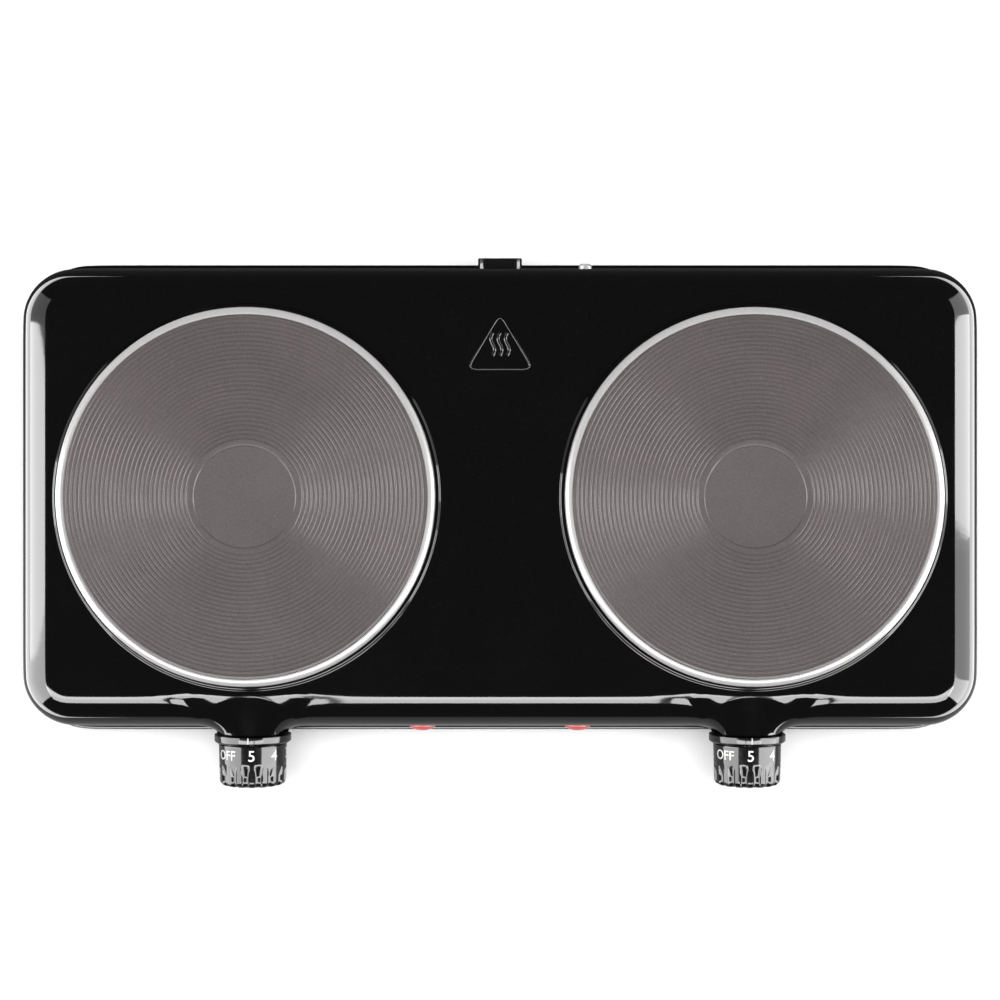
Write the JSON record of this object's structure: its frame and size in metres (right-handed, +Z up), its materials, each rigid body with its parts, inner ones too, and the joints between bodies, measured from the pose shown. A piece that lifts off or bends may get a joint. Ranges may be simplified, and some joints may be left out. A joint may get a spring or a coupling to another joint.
{
  "type": "double electric hot plate",
  "caption": "Countertop electric cooker with two grooved cast-iron hot plates in a black enamelled steel housing with front dials and pilot lamps.",
  "frame": {"origin": "centre of the bounding box's footprint, on the surface the feet stand on", "axes": "+X to the right, along the longest side; +Y to the back; +Z up; the dials face -Y"},
  "size_m": [0.4942, 0.2706, 0.071],
  "materials": {
    "enamel": "gloss black vitreous enamel",
    "base_steel": "satin dark grey",
    "cast_iron": "turned and coated, matt grey",
    "stainless": "polished",
    "resistance_wire": "oxidised",
    "insulation": "pressed powder, matt",
    "zinc_steel": "zinc plated",
    "ceramic": "off-white",
    "brass": "bright",
    "phenolic": "brown moulded",
    "gloss_black_plastic": "gloss black",
    "red_lens": "clear red",
    "neon_glass": "clear",
    "foot_rubber": "matt black",
    "live_insulation": "brown silicone",
    "neutral_insulation": "blue silicone",
    "earth_insulation": "green silicone with a yellow tracer"
  },
  "bodies": {
    "housing": {"top_shell": "enamel", "base_plate": "base_steel", "left_hot_plate": "cast_iron", "right_hot_plate": "cast_iron", "left_trim_ring": "stainless", "right_trim_ring": "stainless", "earth_screw": "stainless", "left_heating_coil": "resistance_wire", "right_heating_coil": "resistance_wire", "left_element_cement": "insulation", "right_element_cement": "insulation", "left_under_cover": "zinc_steel", "right_under_cover": "zinc_steel", "left_plate_stud": "zinc_steel", "right_plate_stud": "zinc_steel", "plate_nuts": "zinc_steel", "left_clamp_bar": "zinc_steel", "right_clamp_bar": "zinc_steel", "left_heat_shield": "zinc_steel", "right_heat_shield": "zinc_steel", "left_thermostat_frame": "zinc_steel", "right_thermostat_frame": "zinc_steel", "thermostat_screws": "zinc_steel", "lamp_retainers": "zinc_steel", "terminal_screws": "zinc_steel", "foot_fasteners": "zinc_steel", "base_screws": "zinc_steel", "left_element_terminal": "ceramic", "right_element_terminal": "ceramic", "left_contact_stack": "ceramic", "right_contact_stack": "ceramic", "terminal_block": "ceramic", "earth_terminal": "brass", "left_contact_blades": "brass", "right_contact_blades": "brass", "left_bezel": "gloss_black_plastic", "right_bezel": "gloss_black_plastic", "cord_gland": "gloss_black_plastic", "left_lamp_lens": "red_lens", "right_lamp_lens": "red_lens", "left_neon_bulb": "neon_glass", "right_neon_bulb": "neon_glass", "front_left_foot": "foot_rubber", "front_right_foot": "foot_rubber", "rear_left_foot": "foot_rubber", "rear_right_foot": "foot_rubber", "live_leads": "live_insulation", "switched_leads": "live_insulation", "neutral_leads": "neutral_insulation", "lamp_leads": "neutral_insulation", "earth_lead": "earth_insulation"},
    "left_dial": {"left_control_shaft": "zinc_steel", "left_knob": "gloss_black_plastic", "left_knob_spring": "stainless"},
    "left_lever": {"left_cam_lever": "phenolic"},
    "right_dial": {"right_control_shaft": "zinc_steel", "right_knob": "gloss_black_plastic", "right_knob_spring": "stainless"},
    "right_lever": {"right_cam_lever": "phenolic"}
  },
  "joints": [
    {"name": "left_knob_turn", "type": "hinge", "parent": "housing", "child": "left_dial", "pos_m": [-0.126, -0.10951, 0.038], "axis": [0, -1, 0], "range_deg": [-1, 317]},
    {"name": "left_lever_swing", "type": "hinge", "parent": "housing", "child": "left_lever", "pos_m": [-0.1184, -0.09401, 0.05], "axis": [0, -1, 0], "range_deg": [-0.06, 11.94]},
    {"name": "right_knob_turn", "type": "hinge", "parent": "housing", "child": "right_dial", "pos_m": [0.126, -0.10951, 0.038], "axis": [0, -1, 0], "range_deg": [-7, 311]},
    {"name": "right_lever_swing", "type": "hinge", "parent": "housing", "child": "right_lever", "pos_m": [0.1336, -0.09401, 0.05], "axis": [0, -1, 0], "range_deg": [-0.28, 11.72]}
  ],
  "couplings": [
    {"joint": "left_lever_swing", "follows": "left_knob_turn", "ratio": 0.037605},
    {"joint": "right_lever_swing", "follows": "right_knob_turn", "ratio": 0.037605}
  ]
}
